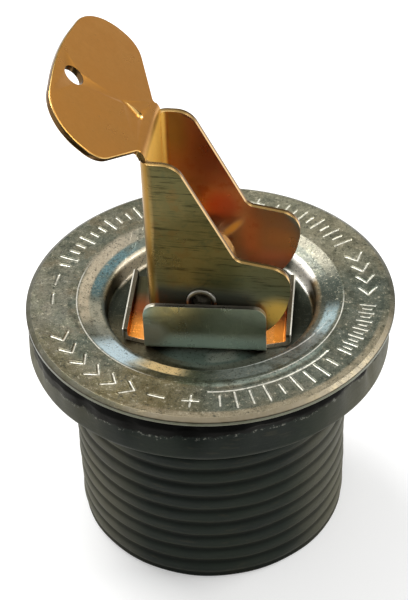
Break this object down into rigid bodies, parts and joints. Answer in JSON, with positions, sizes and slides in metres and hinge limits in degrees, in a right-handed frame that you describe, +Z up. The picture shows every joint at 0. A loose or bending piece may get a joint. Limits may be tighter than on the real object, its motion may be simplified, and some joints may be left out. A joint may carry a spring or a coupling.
{
  "type": "expansion plug",
  "caption": "Ribbed rubber deck plug under a plated flange, expanded by folding a brass cam handle that draws up a threaded stem.",
  "frame": {"origin": "on the stem's axis, at the bottom face of the plug", "axes": "+Z up along the stem, out through the flange; the handle's pivot lies along Y and it folds down towards +X"},
  "size_m": [0.042, 0.0418, 0.0596],
  "materials": {
    "handle_brass": "bright rolled sheet, faintly streaked",
    "rivet_metal": "plated, clinched rim bright",
    "stem_metal": "plated thread",
    "tray_plated": "bright plated sheet",
    "flange_plated": "bright plated, fine scratches",
    "rubber": "satin moulded",
    "washer_plated": "plated sheet",
    "nut_metal": "machined"
  },
  "bodies": {
    "root": {"rubber_plug": "rubber", "flange_plate": "flange_plated"},
    "tray": {"cam_tray": "tray_plated"},
    "stem": {"eye_stem": "stem_metal", "pivot_rivet": "rivet_metal"},
    "handle": {"lever_handle": "handle_brass"},
    "washer": {"cup_washer": "washer_plated"},
    "nut": {"adjusting_nut": "nut_metal"}
  },
  "joints": [
    {"name": "adjust_turn", "type": "hinge", "parent": "root", "child": "tray", "pos_m": [0, 0, 0.02655], "axis": [0, 0, 1], "range_deg": [0, 540]},
    {"name": "stem_lift", "type": "slide", "parent": "tray", "child": "stem", "axis": [0, 0, 1], "range_m": [0, 0.00405]},
    {"name": "handle_fold", "type": "hinge", "parent": "stem", "child": "handle", "pos_m": [0, 0, 0.03275], "axis": [0, 1, 0], "range_deg": [0, 90]},
    {"name": "washer_lift", "type": "slide", "parent": "root", "child": "washer", "axis": [0, 0, 1], "range_m": [0, 0.00405], "deforming": ["rubber_plug"]},
    {"name": "nut_climb", "type": "slide", "parent": "washer", "child": "nut", "axis": [0, 0, 1], "range_m": [-0.00191, 0]}
  ],
  "couplings": [
    {"joint": "stem_lift", "follows": "handle_fold", "m_per_rad": 0.0025783},
    {"joint": "washer_lift", "follows": "handle_fold", "m_per_rad": 0.0025783},
    {"joint": "nut_climb", "follows": "adjust_turn", "m_per_rad": -0.00020213}
  ]
}
